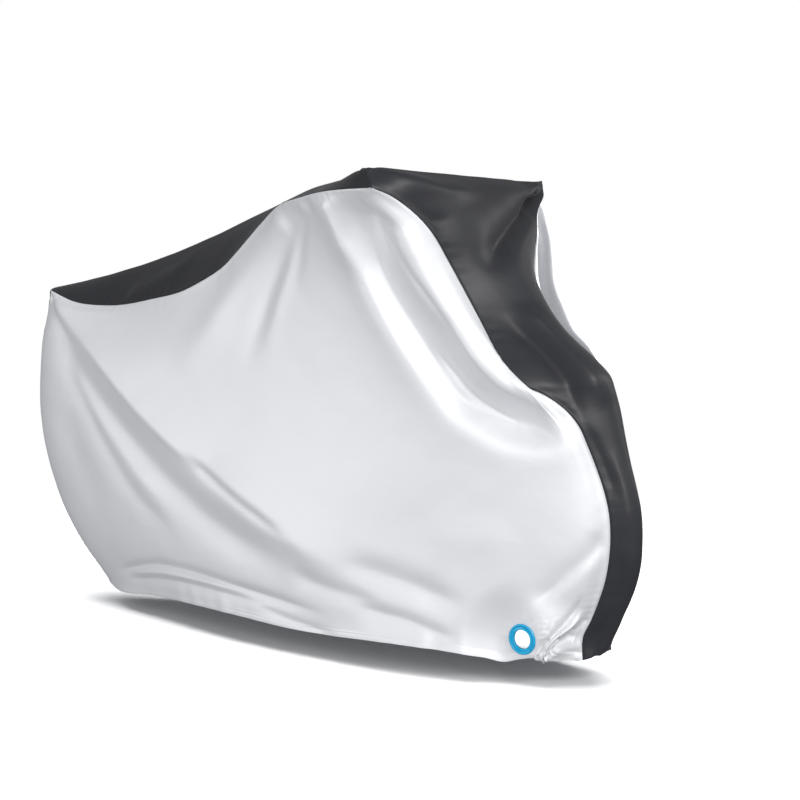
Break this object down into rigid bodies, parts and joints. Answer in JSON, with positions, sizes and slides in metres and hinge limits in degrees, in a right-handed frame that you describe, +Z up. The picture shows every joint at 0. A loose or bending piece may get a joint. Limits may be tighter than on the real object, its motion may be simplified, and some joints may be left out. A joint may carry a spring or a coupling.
{
  "type": "bicycle cover",
  "caption": "Fitted cloth cover shaped like a parked bicycle, open below: silver sides, black panel over the top, blue lock eyelets by the front wheel.",
  "frame": {"origin": "Under the top of the cover at the middle of the handlebar, where the bicycle carries the cloth.", "axes": "+X towards the front wheel, +Y towards the bicycle's left, +Z up."},
  "size_m": [1.7653, 0.6403, 1.0313],
  "materials": {
    "silver_cloth": "silver coated woven polyester, satin",
    "black_cloth": "black woven polyester, soft satin",
    "blue_eyelet": "blue moulded ring, semi-gloss"
  },
  "bodies": {
    "root": {"side_panel_right": "silver_cloth", "side_panel_left": "silver_cloth", "centre_panel": "black_cloth", "eyelet_disc_right": "silver_cloth", "eyelet_disc_left": "silver_cloth", "eyelet_right": "blue_eyelet", "eyelet_left": "blue_eyelet"}
  },
  "joints": []
}
